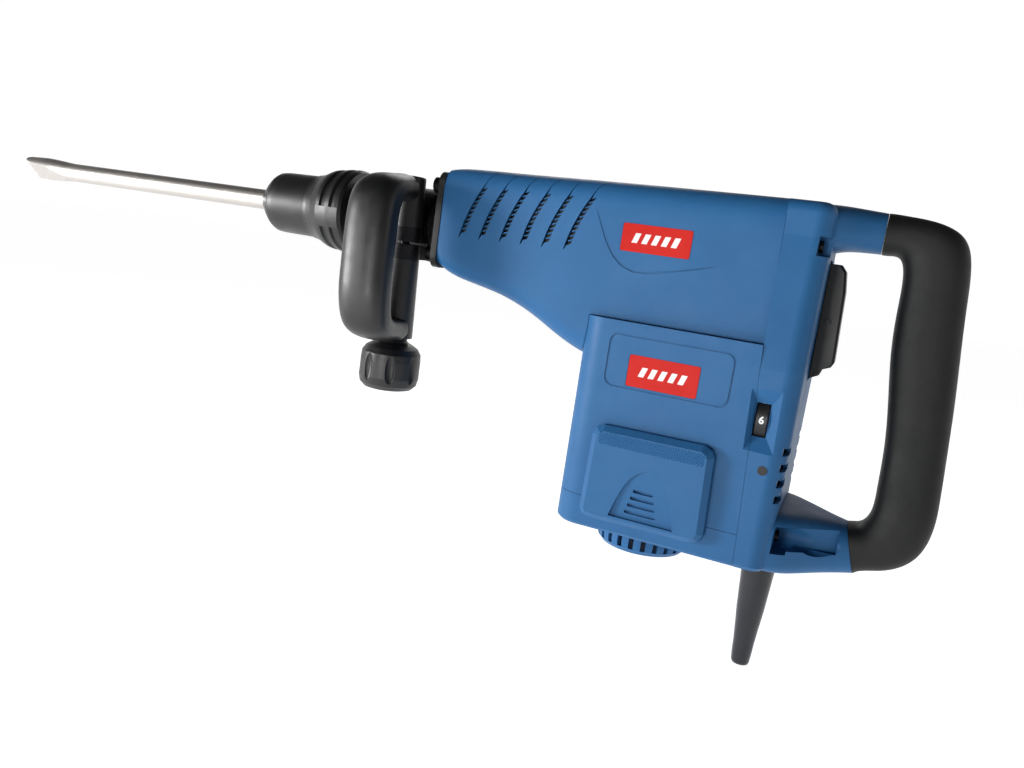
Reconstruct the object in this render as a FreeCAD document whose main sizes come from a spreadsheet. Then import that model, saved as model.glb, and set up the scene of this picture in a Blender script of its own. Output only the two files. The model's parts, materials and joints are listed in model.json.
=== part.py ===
import FreeCAD, Part
import math
import os
import Sketcher
import PartDesign
from FreeCAD import Placement, Rotation, Vector

# Electric demolition hammer, SDS-max, 10 kg class.
# X runs along the tool axis towards the rear grip and Z is up. Stations are drawn
# from a datum 8 mm ahead of the nose; the parts are exported with the origin on the
# tool axis at the front face of the nose.

doc = FreeCAD.newDocument("demolition_hammer")
sheet = doc.addObject("Spreadsheet::Sheet", "Dims")

SIZES = [
    ("bar_radius", 9.0, "chisel shank, SDS-max 18 mm"),
    ("chisel_reach", 309.0, "chisel tip ahead of the nose"),
    ("shank_depth", 92.0, "shank inside the tool holder"),
    ("blade_half", 11.5, "half width of the cutting edge"),
    ("sleeve_radius", 27.2, "locking sleeve"),
    ("ring_radius", 36.6, "angle setting ring"),
    ("barrel_radius", 25.0, "barrel neck"),
    ("flange_front", 205.0, "front face of the flange"),
    ("flange_thick", 5.0, "flange plate"),
    ("bolt_radius", 4.0, "M8 flange bolts"),
    ("bolt_head", 6.5, "M8 cap head"),
    ("piston_radius", 16.04, "piston and ram"),
    ("cylinder_bore", 16.1, "cylinder bore radius"),
    ("anvil_radius", 13.0, "striker"),
    ("crank_at", 360.0, "crank axis"),
    ("motor_at", 404.0, "motor axis"),
    ("crank_throw", 14.0, "crank pin offset"),
    ("rod_length", 80.0, "connecting rod centres"),
    ("gear_module", 1.0, "gear module"),
    ("pinion_teeth", 16.0, "teeth on the armature pinion"),
    ("gear_teeth", 72.0, "teeth on the crank gear"),
    ("shaft_radius", 6.0, "armature shaft"),
    ("core_radius", 27.0, "armature core"),
    ("stator_radius", 46.0, "stator outside"),
    ("housing_half", 46.0, "half width of the upper housing"),
    ("motor_half", 56.0, "half width of the motor housing"),
    ("wall", 3.0, "plastic wall"),
    ("motor_top", -50.4, "top of the motor housing"),
    ("cover_top", -183.4, "joint of motor housing and end cover"),
    ("motor_foot", -207.0, "bottom of the end cover"),
    ("cap_radius", 36.0, "air cap"),
    ("cap_height", 20.0, "air cap"),
    ("nose_front", 8.0, "front face of the nose; becomes X = 0 in the exported parts"),
    ("clamp_at", 178.0, "centre plane of the auxiliary handle"),
    ("clamp_out", 37.5, "clamp bolt beside the tool axis"),
    ("knob_radius", 25.0, "clamp knob"),
    ("grip_half", 18.5, "half width of the rear grip"),
    ("dial_radius", 20.0, "speed wheel"),
    ("vent_rows", 6.0, "rows of air slots on each side"),
    ("vent_cells", 10.0, "slots in each row"),
]

for row, (word, value, note) in enumerate(SIZES, start=1):
    sheet.set("A%d" % row, word)
    sheet.set("B%d" % row, "%g" % value)
    sheet.set("C%d" % row, note)
    sheet.setAlias("B%d" % row, word)
doc.recompute()

nodes = []


def size(word):
    return float(sheet.get(word))


def number(value):
    if isinstance(value, str):
        return size(value)
    if isinstance(value, tuple):
        return size(value[0]) + value[1]
    return float(value)


def formula(value):
    if isinstance(value, str):
        return "Dims." + value
    if isinstance(value, tuple):
        return "Dims.%s + %g" % value
    return None


def bind(thing, prop, value):
    text = formula(value)
    if text is None:
        setattr(thing, prop, float(value))
    else:
        thing.setExpression(prop, text)


def keep(thing, label):
    thing.Label = label
    nodes.append(thing)
    return thing


def plane_of(body, role):
    return [item for item in body.Origin.OriginFeatures if item.Role == role][0]


def draw(body, role, points):
    sketch = body.newObject("Sketcher::SketchObject", "outline")
    sketch.AttachmentSupport = [(plane_of(body, role), "")]
    sketch.MapMode = "FlatFace"
    spots = [Vector(number(u), number(v), 0) for u, v in points]
    count = len(spots)
    for index in range(count):
        sketch.addGeometry(Part.LineSegment(spots[index], spots[(index + 1) % count]), False)
    for index in range(count):
        sketch.addConstraint(Sketcher.Constraint("Coincident", index, 2, (index + 1) % count, 1))
    for index, point in enumerate(points):
        for kind, value in (("DistanceX", point[0]), ("DistanceY", point[1])):
            text = formula(value)
            if text is not None:
                made = sketch.addConstraint(Sketcher.Constraint(kind, -1, 1, index, 1, number(value)))
                sketch.setExpression("Constraints[%d]" % made, text)
    return sketch


def spun(label, points, axis="X", at=(0, 0, 0)):
    body = doc.addObject("PartDesign::Body", "spun")
    sketch = draw(body, "XZ_Plane", points)
    turn = body.newObject("PartDesign::Revolution", "turn")
    turn.Profile = sketch
    turn.ReferenceAxis = (sketch, ["H_Axis" if axis == "X" else "V_Axis"])
    turn.Angle = 360.0
    body.Label = label
    body.Placement = Placement(Vector(*at), Rotation())
    return body


def slab(label, role, points, low, high):
    body = doc.addObject("PartDesign::Body", "slab")
    sketch = draw(body, role, points)
    pad = body.newObject("PartDesign::Pad", "pad")
    pad.Profile = sketch
    pad.Length = high - low
    body.Label = label
    doc.recompute()
    normal = {"XY_Plane": Vector(0, 0, 1), "XZ_Plane": Vector(0, -1, 0), "YZ_Plane": Vector(1, 0, 0)}[role]
    reach = {"XY_Plane": low, "XZ_Plane": -high, "YZ_Plane": low}[role]
    body.Placement = Placement(normal * reach, Rotation())
    return body


def rod(label, radius, length, at, along=Vector(0, 0, 1)):
    thing = doc.addObject("Part::Cylinder", "rod")
    bind(thing, "Radius", radius)
    bind(thing, "Height", length)
    thing.Placement = Placement(Vector(*at), Rotation(Vector(0, 0, 1), along))
    thing.Label = label
    return thing


def block(label, lower, upper):
    thing = doc.addObject("Part::Box", "block")
    thing.Length = upper[0] - lower[0]
    thing.Width = upper[1] - lower[1]
    thing.Height = upper[2] - lower[2]
    thing.Placement = Placement(Vector(*lower), Rotation())
    thing.Label = label
    return thing


def cut(label, base, tool):
    thing = doc.addObject("Part::Cut", "cut")
    thing.Base = base
    thing.Tool = tool
    thing.Label = label
    return thing


def fuse(label, pieces):
    thing = doc.addObject("Part::MultiFuse", "fuse")
    thing.Shapes = pieces
    thing.Label = label
    return thing


def common(label, pieces):
    thing = doc.addObject("Part::MultiCommon", "common")
    thing.Shapes = pieces
    thing.Label = label
    return thing


def group(label, shapes):
    thing = doc.addObject("Part::Feature", "group")
    thing.Shape = Part.makeCompound(shapes) if len(shapes) > 1 else shapes[0]
    thing.Label = label
    return thing


def solid(label, shape):
    thing = doc.addObject("Part::Feature", "solid")
    thing.Shape = shape
    thing.Label = label
    return thing


X = Vector(1, 0, 0)
Y = Vector(0, 1, 0)
Z = Vector(0, 0, 1)


# ---------------------------------------------------------------- chisel

def make_chisel():
    tip = size("chisel_reach")
    bar = spun("chisel_bar", [
        (-tip + 2, 0), (-tip + 2, "blade_half"), (-282, "blade_half"), (-246, "bar_radius"),
        (("shank_depth", -1.5), "bar_radius"), ("shank_depth", 7.5), ("shank_depth", 0)])
    flat = slab("chisel_flat", "XZ_Plane", [
        (-tip, -0.6), (-tip, 0.6), (-303, 3.4), (-252, 9.4), (-236, 12), (95, 12),
        (95, -12), (-236, -12), (-252, -9.4), (-303, -3.4)], -13, 13)
    flat.Placement = Placement(Vector(0, 0, 0), Rotation(X, -45)).multiply(flat.Placement)
    shape = common("chisel_forged", [bar, flat])
    locks = fuse("lock_pockets", [
        block("lock_pocket_top", (38, -4.8, 6.3), (62, 4.8, 12)),
        block("lock_pocket_low", (38, -4.8, -12), (62, 4.8, -6.3)),
        block("drive_groove_near", (30, -12, -2.8), (95, -6.6, 2.8)),
        block("drive_groove_far", (30, 6.6, -2.8), (95, 12, 2.8))])
    keep(cut("chisel", shape, locks), "chisel")


# ---------------------------------------------------------------- tool holder

def make_holder():
    tube = spun("holder_tube", [
        (12, 9.06), (12, 12.98), (23.2, 12.98), (23.2, 15), (74, 15), (74, 20.98),
        (136, 20.98), (136, 13.06), (92, 13.06), (92, 9.06)])
    windows = fuse("roller_windows", [
        block("window_top", (38.4, -4.5, 8), (47.6, 4.5, 16)),
        block("window_low", (38.4, -4.5, -16), (47.6, 4.5, -8))])
    keep(cut("tool_holder", tube, windows), "tool_holder")
    rollers = []
    for side in (1, -1):
        rollers.append(Part.makeCylinder(4, 8.4, Vector(43, -4.2, side * 10.4), Y))
    keep(group("rollers", rollers), "lock_rollers")
    keep(spun("cap", [
        (8, 9.5), (8, 10.6), (9, 12), (15.4, 18.6), (16, 18.6), (16.4, 19.6), (22.4, 24.8),
        (23.2, 24.8), (23.2, 13), (11.98, 13), (11.98, 9.5)]), "dust_cap")
    keep(spun("bush", [(111.5, 21.08), (111.5, 22.6), (135, 22.6), (135, 21.08)]), "holder_bushing")


def make_sleeve():
    keep(spun("sleeve", [
        (23.6, 15.3), (23.6, 25.4), (25.4, 26.4), (31, 26.9), (60, "sleeve_radius"),
        (78, "sleeve_radius"), (78, 23.5), (50, 23.5), (50, 15.08), (36, 15.08), (36, 22),
        (27, 22), (27, 15.3)]), "locking_sleeve")
    rows = []
    for step in range(97):
        angle = 2 * math.pi * step / 24
        out = Vector(0, math.cos(angle), math.sin(angle))
        spot = out * 18.41 + X * (50.9 + 22.2 * step / 96)
        row = []
        for side in range(12):
            turn = 2 * math.pi * side / 12
            row.append(spot + out * (0.838 * math.cos(turn)) + X * (0.838 * math.sin(turn)))
        rows.append(row)
    shape = skin_mesh(rows)
    keep(solid("coil", shape), "sleeve_spring")


def make_ring():
    body = spun("ring_turned", [
        (66, 27.7), (66, 28.2), (70, 28.9), (75, 30.4), (80, 32.8), (84, 34.4), (87.6, 35), (89, 33.4),
        (92.4, 33.4), (94, 35.7), (98.4, 36.2), (99.8, 34.4), (103.2, 34.4), (104.8, "ring_radius"),
        (108, 36.2), (110.2, 34.6), (110.2, 21), (92, 21), (92, 27.7)])
    limit = spun("pad_limit", [(76, 28), (76, 31.4), (84, 34.9), (96, 36.4), (108, 36.9), (108, 28)])
    bars = fuse("pad_bars", [
        block("pad_near", (76, -40, -16), (108, -20, 1)),
        block("pad_far", (76, 20, -16), (108, 40, 1))])
    keep(fuse("ring", [body, common("ring_pads", [limit, bars])]), "setting_ring")


# ---------------------------------------------------------------- barrel and impact parts

def with_ring(label, base, radius, thick, x):
    ring = doc.addObject("Part::Torus", "sealing_ring")
    ring.Radius1 = radius
    ring.Radius2 = thick
    ring.Placement = Placement(Vector(x, 0, 0), Rotation(Z, X))
    pair = doc.addObject("Part::Compound", "pair")
    pair.Links = [base, ring]
    pair.Label = label
    return pair


def corner_spots():
    return [(-30.0, 30.0), (30.0, 30.0), (-30.0, -25.0), (30.0, -25.0)]


def make_barrel():
    tube = spun("barrel_tube", [
        (111, 22.6), (111, "barrel_radius"), ("flange_front", "barrel_radius"),
        (("flange_front", 5), "barrel_radius"), (("flange_front", 5), 19.6), (140, 19.6),
        (140, 21.4), (136.5, 22.6)])
    shape = Part.makeBox(size("flange_thick"), 84, 76, Vector(size("flange_front"), -42, -35))
    long_edges = [edge for edge in shape.Edges if abs(edge.tangentAt(edge.FirstParameter).x) > 0.9]
    plate = solid("flange_plate", shape.makeFillet(9, long_edges).cut(
        Part.makeCylinder(22, 10, Vector(203, 0, 0), X)))
    holes = [rod("flange_hole_%d" % index, 4.1, 20, (200, y, z), X)
             for index, (y, z) in enumerate(corner_spots())]
    keep(cut("barrel", fuse("barrel_solid", [tube, plate]), fuse("flange_holes", holes)), "barrel")
    bolts = []
    for y, z in corner_spots():
        head = Part.makeCylinder(size("bolt_head"), 8, Vector(197, y, z), X)
        socket = Part.makeCylinder(3.2, 5, Vector(196, y, z), X)
        shank = Part.makeCylinder(size("bolt_radius"), 30, Vector(205, y, z), X)
        bolts.append(head.cut(socket).fuse(shank).removeSplitter())
    keep(group("bolts", bolts), "flange_bolts")


def make_impact_parts():
    bar = spun("striker_turned", [
        (92.4, 0), (92.4, 12.4), (93.2, "anvil_radius"), (120, "anvil_radius"), (120, 11.4),
        (123, 11.4), (123, "anvil_radius"), (165, "anvil_radius"), (165, 0)])
    keep(with_ring("striker_and_ring", bar, 12.45, 0.55, 121.5), "striker")
    keep(spun("tube", [
        (141, 13.4), (141, 19.5), (305, 19.5), (305, "cylinder_bore"), (168, "cylinder_bore"),
        (168, 13.4)]), "cylinder")
    bar = spun("ram_turned", [
        (200, 0), (200, 14), (202, "piston_radius"), (212, "piston_radius"), (212, 14),
        (215, 14), (215, "piston_radius"), (240, "piston_radius"), (240, 0)])
    keep(with_ring("ram_and_ring", bar, 15.0, 1.0, 213.5), "ram")
    cross = size("crank_at") - math.sqrt(size("rod_length") ** 2 - size("crank_throw") ** 2)
    turned = spun("piston_turned", [
        (262, 0), (262, "piston_radius"), (266, "piston_radius"), (266, 14), (269, 14),
        (269, "piston_radius"), (294, "piston_radius"), (294, 0)])
    slot = block("piston_slot", (271.6, -20, -6.5), (300, 20, 6.5))
    pin_hole = rod("piston_bore", 4.0, 40, (cross, 0, -20))
    body = cut("piston_body", turned, fuse("piston_cuts", [slot, pin_hole]))
    keep(with_ring("piston_and_ring", body, 15.0, 1.0, 267.5), "piston")
    keep(rod("pin", 4.0, 28, (cross, 0, -14)), "wrist_pin")
    pin = Vector(size("crank_at"), size("crank_throw"), 0)
    start = Vector(cross, 0, 0)
    angle = math.degrees(math.atan2(pin.y, pin.x - start.x))
    shank = Part.makeBox(size("rod_length"), 11, 8, Vector(0, -5.5, -4))
    shank.rotate(Vector(0, 0, 0), Z, angle)
    shank.translate(start)
    small = Part.makeCylinder(9, 11, start - Z * 5.5)
    big = Part.makeCylinder(13, 14, pin - Z * 7)
    shape = shank.fuse([small, big])
    shape = shape.cut(Part.makeCylinder(4.0, 30, start - Z * 15))
    shape = shape.cut(Part.makeCylinder(6.0, 30, pin - Z * 15))
    keep(solid("con_rod", shape.removeSplitter()), "connecting_rod")
    keep(rod("crank_pin_rod", 6.0, 20, (pin.x, pin.y, -10)), "crank_pin")


# ---------------------------------------------------------------- gears and crank

def gear_face(teeth, turn_deg):
    module = size("gear_module")
    pitch = module * teeth / 2
    spots = []
    for tooth in range(int(teeth)):
        middle = math.radians(turn_deg) + tooth * 2 * math.pi / teeth
        for radius, half in ((pitch - 1.25 * module, -0.95), (pitch + 0.8 * module, -0.32),
                             (pitch + 0.8 * module, 0.32), (pitch - 1.25 * module, 0.95)):
            angle = middle + half * module / radius
            spots.append(Vector(radius * math.cos(angle), radius * math.sin(angle), 0))
    spots.append(spots[0])
    return Part.Face(Part.makePolygon(spots))


def make_gears():
    wheel = gear_face(size("gear_teeth"), 0).extrude(Z * 11)
    wheel = wheel.cut(Part.makeCylinder(10, 20, Vector(0, 0, -2)))
    for index in range(6):
        angle = math.radians(30 + 60 * index)
        spot = Vector(21.5 * math.cos(angle), 21.5 * math.sin(angle), -2)
        wheel = wheel.cut(Part.makeCylinder(5.5, 20, spot))
    wheel.translate(Vector(size("crank_at"), 0, -41))
    keep(solid("gear", wheel), "crank_gear")
    shaft = spun("crank_turned", [
        (0, -64), (5, -64), (5, -52), (9.98, -52), (9.98, -24), (22, -24), (22, -10.6), (0, -10.6)],
        "Z", (size("crank_at"), 0, 0))
    keep(shaft, "crankshaft")
    bearings = []
    for low, high, inner, outer in ((-63.6, -52.6, 5.05, 11.0),):
        ring = Part.makeCylinder(outer, high - low, Vector(size("crank_at"), 0, low))
        bearings.append(ring.cut(Part.makeCylinder(inner, 40, Vector(size("crank_at"), 0, low - 5))))
    keep(group("crank_races", bearings), "crank_bearing")


def make_armature():
    at = (size("motor_at"), 0, 0)
    keep(spun("shaft", [
        (0, -199), (4, -199), (4, -187), ("shaft_radius", -187), ("shaft_radius", -29.5),
        (0, -29.5)], "Z", at), "armature_shaft")
    pinion = gear_face(size("pinion_teeth"), 180.0 / size("pinion_teeth")).extrude(Z * 13)
    pinion = pinion.cut(Part.makeCylinder(size("shaft_radius"), 30, Vector(0, 0, -5)))
    pinion.translate(Vector(size("motor_at"), 0, -42.2))
    keep(solid("pinion_teeth", pinion), "pinion")
    core = Part.makeCylinder(size("core_radius"), 58, Vector(0, 0, -148))
    for index in range(16):
        angle = math.radians(22.5 * index)
        slot = Part.makeBox(5, 2, 70, Vector(23.5, -1, -154))
        slot.rotate(Vector(0, 0, 0), Z, math.degrees(angle))
        core = core.cut(slot)
    core = core.cut(Part.makeCylinder(size("shaft_radius"), 70, Vector(0, 0, -154)))
    core.translate(Vector(*at))
    keep(solid("laminations", core), "armature_core")
    keep(spun("winding_ends", [
        (6, -160), (14, -160), (22.5, -155), (22.5, -148.2), (6, -148.2)], "Z", at), "armature_windings")
    keep(spun("copper", [(6, -182), (15, -182), (15, -162), (6, -162)], "Z", at), "commutator")
    hub = Part.makeCylinder(12, 10, Vector(0, 0, -82)).fuse(Part.makeCylinder(38, 2, Vector(0, 0, -82)))
    for index in range(12):
        blade = Part.makeBox(24, 1.6, 10, Vector(13, -0.8, -81))
        blade.rotate(Vector(13, 0, 0), Z, 28)
        blade.rotate(Vector(0, 0, 0), Z, 30 * index)
        hub = hub.fuse(blade)
    hub = hub.common(Part.makeCylinder(38, 40, Vector(0, 0, -100)))
    hub = hub.cut(Part.makeCylinder(size("shaft_radius"), 40, Vector(0, 0, -100)))
    hub.translate(Vector(*at))
    keep(solid("fan_wheel", hub.removeSplitter()), "cooling_fan")
    upper = spun("race_top", [(6.05, -66.5), (15, -66.5), (15, -56), (6.05, -56)], "Z", at)
    lower = spun("race_low", [(4.05, -198.6), (11, -198.6), (11, -189), (4.05, -189)], "Z", at)
    pair = doc.addObject("Part::Compound", "races")
    pair.Links = [upper, lower]
    keep(pair, "armature_bearings")


def make_stator():
    centre = Vector(size("motor_at"), 0, -150)
    ring = Part.makeCylinder(size("stator_radius"), 62, centre)
    ring = ring.cut(Part.makeCylinder(28, 80, centre - Z * 5))
    for side in (-1, 1):
        window = Part.makeBox(36, 20, 80, Vector(size("motor_at") - 18, side * 34 - 10, -156))
        ring = ring.cut(window.common(Part.makeCylinder(40, 90, centre - Z * 8)))
    keep(solid("field_core", ring), "stator_core")
    coils = []
    for side in (-1, 1):
        coil = Part.makeBox(33, 7, 74, Vector(size("motor_at") - 16.5, side * 32.4 - 3.5, -156))
        coils.append(coil)
    keep(group("field_coils", coils), "stator_coils")
    holders = []
    brushes = []
    springs = []
    for side in (-1, 1):
        outer = Part.makeBox(15, 24, 17, Vector(size("motor_at") - 7.5, min(side * 17, side * 41), -181))
        outer = outer.cut(Part.makeBox(10.4, 60, 12.4, Vector(size("motor_at") - 5.2, -30 + side * 30, -178.2)))
        holders.append(outer)
        brush = Part.makeBox(10, 14, 12, Vector(size("motor_at") - 5, min(side * 15.3, side * 29.3), -178))
        brushes.append(brush)
        spring = Part.makeCylinder(4, 11, Vector(size("motor_at"), side * 29.4, -172), Y * side)
        spring = spring.cut(Part.makeCylinder(3, 11, Vector(size("motor_at"), side * 29.4, -172), Y * side))
        springs.append(spring)
    keep(group("holder_pair", holders), "brush_holders")
    keep(group("brush_pair", brushes), "carbon_brushes")
    keep(group("spring_pair", springs), "brush_springs")


# ---------------------------------------------------------------- housings

def seam_x(z):
    # joint between the rear housing and the housings in front of it
    if z > -50:
        return 472.0 + (47 - z) * 0.0245
    return 474.4 + (-50 - z) * 0.0484


def face_of(points, role):
    if role == "side":
        spots = [Vector(a, 0, b) for a, b in points]
    elif role == "front":
        spots = [Vector(0, a, b) for a, b in points]
    else:
        spots = [Vector(a, b, 0) for a, b in points]
    spots.append(spots[0])
    return Part.Face(Part.makePolygon(spots))


def side_solid(points, half):
    shape = face_of(points, "side")
    shape.translate(Vector(0, -half, 0))
    return shape.extrude(Y * 2 * half)


def side_cutter(points, side, near, deep):
    # prism with its outline in X and Z, from |Y| = near to |Y| = deep
    shape = face_of(points, "side")
    shape.translate(Vector(0, side * near, 0))
    return shape.extrude(Y * side * (deep - near))


def carve(shape, tools):
    for tool in tools:
        shape = shape.cut(tool)
    return shape


def plan_solid(points, low, high):
    shape = face_of(points, "plan")
    shape.translate(Vector(0, 0, low))
    return shape.extrude(Z * (high - low))


def rounded_front(half, low, high, radius, x0, x1):
    shape = Part.makeBox(x1 - x0, 2 * half, high - low, Vector(x0, -half, low))
    edges = [edge for edge in shape.Edges if abs(edge.tangentAt(edge.FirstParameter).x) > 0.9]
    return shape.makeFillet(radius, edges)


def closed_skin(surface):
    side = surface.toShape()
    caps = [Part.Face(Part.Wire([edge])) for edge in side.Edges if edge.isClosed()]
    shell = Part.Shell([side] + caps)
    shell.sewShape()
    body = Part.Solid(shell)
    if body.Volume < 0:
        body.reverse()
    return body


def skin_rows(rows):
    surface = Part.BSplineSurface()
    surface.interpolate(rows)
    return closed_skin(surface)


def skin_mesh(rows):
    # cubic surface drawn over a net of points, closed around each row
    along = len(rows)
    around = len(rows[0])
    surface = Part.BSplineSurface()
    ends = [4] + [1] * (along - 4) + [4]
    surface.buildFromPolesMultsKnots(
        rows, ends, [1] * (around + 1), [float(index) for index in range(along - 2)],
        [float(index) for index in range(around + 1)], False, True, 3, 3)
    return closed_skin(surface)


def skin(stations, middle, across, power=2.6, count=24, net=False):
    # smooth closed skin through rounded sections, capped at both ends
    rows = []
    for inner, outer, width, *bend in stations:
        bow = 2 / (bend[0] if bend else power)
        start = middle(inner)
        end = middle(outer)
        first = end - start
        reach = first.Length / 2
        first.normalize()
        centre = (start + end) * 0.5
        row = []
        for step in range(count):
            angle = 2 * math.pi * step / count
            c = math.cos(angle)
            s = math.sin(angle)
            a = -reach * math.copysign(abs(c) ** bow, c)
            b = width * math.copysign(abs(s) ** bow, s)
            row.append(centre + first * a + across * b)
        rows.append(row)
    return skin_mesh(rows) if net else skin_rows([row + row[:1] for row in rows])


def box_skin(stations, inset):
    # smooth body through rounded rectangles, each (x, top, bottom, half width, top radius, low radius)
    rows = []
    for x, top, low, half, crown, heel in stations:
        top = top - inset
        low = low + inset
        half = half - inset
        crown = crown - inset
        heel = heel - inset
        corners = [(half - crown, top - crown, crown, 0), (crown - half, top - crown, crown, 90),
                   (heel - half, low + heel, heel, 180), (half - heel, low + heel, heel, 270)]
        row = []
        for index, (cy, cz, radius, begin) in enumerate(corners):
            for step in range(3):
                angle = math.radians(begin + 30 * step)
                row.append(Vector(x, cy + radius * math.cos(angle), cz + radius * math.sin(angle)))
            after = corners[(index + 1) % 4]
            turn = math.radians(begin + 90)
            start = Vector(x, cy + radius * math.cos(turn), cz + radius * math.sin(turn))
            end = Vector(x, after[0] + after[2] * math.cos(turn), after[1] + after[2] * math.sin(turn))
            count = 6 if index % 2 == 0 else 7
            for step in range(count):
                row.append(start + (end - start) * (step / count))
        rows.append(row)
    return skin_mesh(rows)


UPPER = [
    (210.3, 43.8, -33.0, 41.4, 12, 12), (218, 45.8, -38.4, 42.0, 13.5, 13), (232, 46.3, -42.0, 43.0, 14, 14),
    (250, 46.6, -45.2, 43.8, 14.5, 15), (268, 46.8, -49.0, 44.6, 15, 16), (284, 47.0, -54.6, 45.2, 15, 17),
    (300, 47.3, -62.0, 45.8, 15, 18), (316, 47.6, -71.0, 46.4, 15, 18), (332, 47.9, -78.6, 47.0, 15, 18),
    (350, 48.2, -84.6, 47.6, 15, 18), (380, 48.7, -88.0, 48.0, 15, 18), (430, 49.4, -88.0, 48.0, 15, 18),
    (480, 50.0, -88.0, 48.0, 15, 18)]


def vent_outline(row):
    # toothed slot with a thin tail at each end, in X and Z
    at = 245.1 + 17.9 * row
    level = 31.6 + 0.4 * row

    def spot(part):
        return at - 15.0 * part - 7.0 * part * (1 - part), level - 36.5 * part

    left = [spot(step / 14.0) for step in range(15)]
    outline = [(at + 6.4, level + 11.6), (at + 2.4, level + 6.2)]
    outline += [(x - 0.7, z) for x, z in left]
    end = left[-1]
    outline += [(end[0] - 1.5, end[1] - 3.4), (end[0] - 0.9, end[1] - 3.4), (end[0] + 0.7, end[1] - 0.6)]
    cells = int(size("vent_cells"))
    for cell in range(cells - 1, -1, -1):
        low = spot((cell + 0.98) / cells)
        high = spot((cell + 0.24) / cells)
        outline += [(low[0] + 0.9, low[1]), (low[0] + 4.3, low[1] + 1.2),
                    (high[0] + 4.3, high[1] + 1.2), (high[0] + 0.9, high[1])]
    outline += [(at + 0.9, level + 0.6), (at + 2.9, level + 6.2), (at + 6.9, level + 11.6)]
    return outline


def crescent():
    return [(339.6, 27.0), (342.7, 19.7), (345.6, 13.6), (349.9, 4.7), (356.6, -5.3), (364.4, -12.0), (374, -15.4),
            (386, -15.0), (400, -12.2), (416, -8.2), (434, -3.0), (416, -7.4), (400, -10.9), (388, -12.2),
            (379, -11.9), (369, -9.3), (360.6, -3.7), (353.8, 4.4), (348.8, 11.5), (345.0, 17.5)]


def make_upper_housing():
    front = plan_solid(motor_plan(-0.4, 520), -300, -49.9)
    under = side_solid([(366, -49.9), (500, -49.9), (500, -130), (344, -130), (344, -86)], 80)
    above = side_solid([(200, -200), (seam_x(-200) - 0.2, -200), (seam_x(-50) - 0.2, -50), (seam_x(47) - 0.2, 47),
                        (seam_x(80) - 0.2, 80), (200, 80)], 80)
    outer = box_skin(UPPER, 0).cut([front, under]).common(above)
    inner = box_skin(UPPER, size("wall")).cut([
        Part.makeBox(200, 200, 100, Vector(340.6, -100, -146.9)), Part.makeBox(13, 120, 200, Vector(200, -60, -100))])
    mouth = rounded_front(37.6, -31.6, 38.8, 5, 205, 216)
    shell = outer.cut([inner, mouth, Part.makeBox(118, 76, 8, Vector(347, -38, -54))])
    tools = []
    for side in (-1, 1):
        for row in range(int(size("vent_rows"))):
            tools.append(side_cutter(vent_outline(row), side, 32, 60))
        tools.append(side_cutter(crescent(), side, 46.9, 60))
        tools.append(Part.makeBox(51.4, 1, 20.4, Vector(361.8, side * 47.9 - 0.5, -1.2)))
    keep(solid("upper_jacket", shell.cut(tools)), "upper_housing")


def motor_plan(inset, back):
    half = size("motor_half") - inset
    front = 343.6 + inset
    pts = []
    for side in (-1, 1):
        arc = []
        for step in range(16):
            angle = math.radians(6 * step)
            radius = 20 - inset
            x = front + radius - radius * math.cos(angle)
            y = half - radius + radius * math.sin(angle)
            arc.append((x, y))
        if side < 0:
            pts += [(x, -y) for x, y in arc]
            pts += [(back, -half), (back, half)]
        else:
            pts += [(x, y) for x, y in reversed(arc)]
    return pts


def dial_pocket(side, grow):
    # tapered recess in the side wall, wide at the outside, with the wheel's window at its floor
    outer = [(472.4, -80.2), (493.2, -79.2), (494.4, -123.6), (474.0, -123.2)]
    inner = [(477.0, -89.6), (487.0, -89.6), (487.4, -113.6), (477.0, -113.6)]
    wires = []
    for points, y in ((outer, 56.01), (inner, 50.8)):
        ring = []
        for x, z in points:
            away_x = -grow if x < 483 else grow
            away_z = grow if z > -100 else -grow
            ring.append(Vector(x + away_x, side * (y - 0.6 * grow), z + away_z))
        ring.append(ring[0])
        wires.append(Part.makePolygon(ring))
    return Part.makeLoft(wires, True, True)


def rounded_panel(x0, x1, z0, z1, radius, side, near, deep):
    shape = Part.makeBox(x1 - x0, deep - near, z1 - z0, Vector(x0, near if side > 0 else -deep, z0))
    edges = [edge for edge in shape.Edges if abs(edge.tangentAt(edge.FirstParameter).y) > 0.9]
    return shape.makeFillet(radius, edges)


def make_motor_housing():
    low = size("cover_top")
    top = size("motor_top")
    outline = [(330, top), (seam_x(top) - 0.2, top), (seam_x(low) - 0.2, low), (330, low)]
    edge_cut = side_solid(outline, 70)
    outer = plan_solid(motor_plan(0, 500), low, top).common(edge_cut)
    inner = plan_solid(motor_plan(size("wall"), 500), low - 1, top - 3)
    shell = outer.cut([inner, Part.makeBox(118, 76, 8, Vector(347, -38, top - 4)),
                       Part.makeBox(20, 96, 10, Vector(468, -48, top - 8))])
    backing = dial_pocket(-1, 2).cut(Part.makeBox(40, 60, 60, Vector(487.4, -70, -130))).common(edge_cut)
    shell = shell.fuse(backing.common(plan_solid(motor_plan(0, 500), low, top)))
    tools = [dial_pocket(-1, 0), Part.makeBox(9.6, 20, 23.8, Vector(477.1, -60, -113.5))]
    for side in (-1, 1):
        tools.append(Part.makeBox(70, 20, 44, Vector(380, side * 56 - 10, -186)))
        groove = rounded_panel(368, 459, -98, -59, 7, side, 55.2, 57)
        tools.append(groove.cut(rounded_panel(369.4, 457.6, -96.6, -60.4, 5.8, side, 55, 58)))
        tools.append(rounded_panel(384.4, 436.4, -96, -72.6, 1.5, side, 55.4, 57))
    keep(solid("motor_shell", shell.cut(tools)), "motor_housing")


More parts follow.
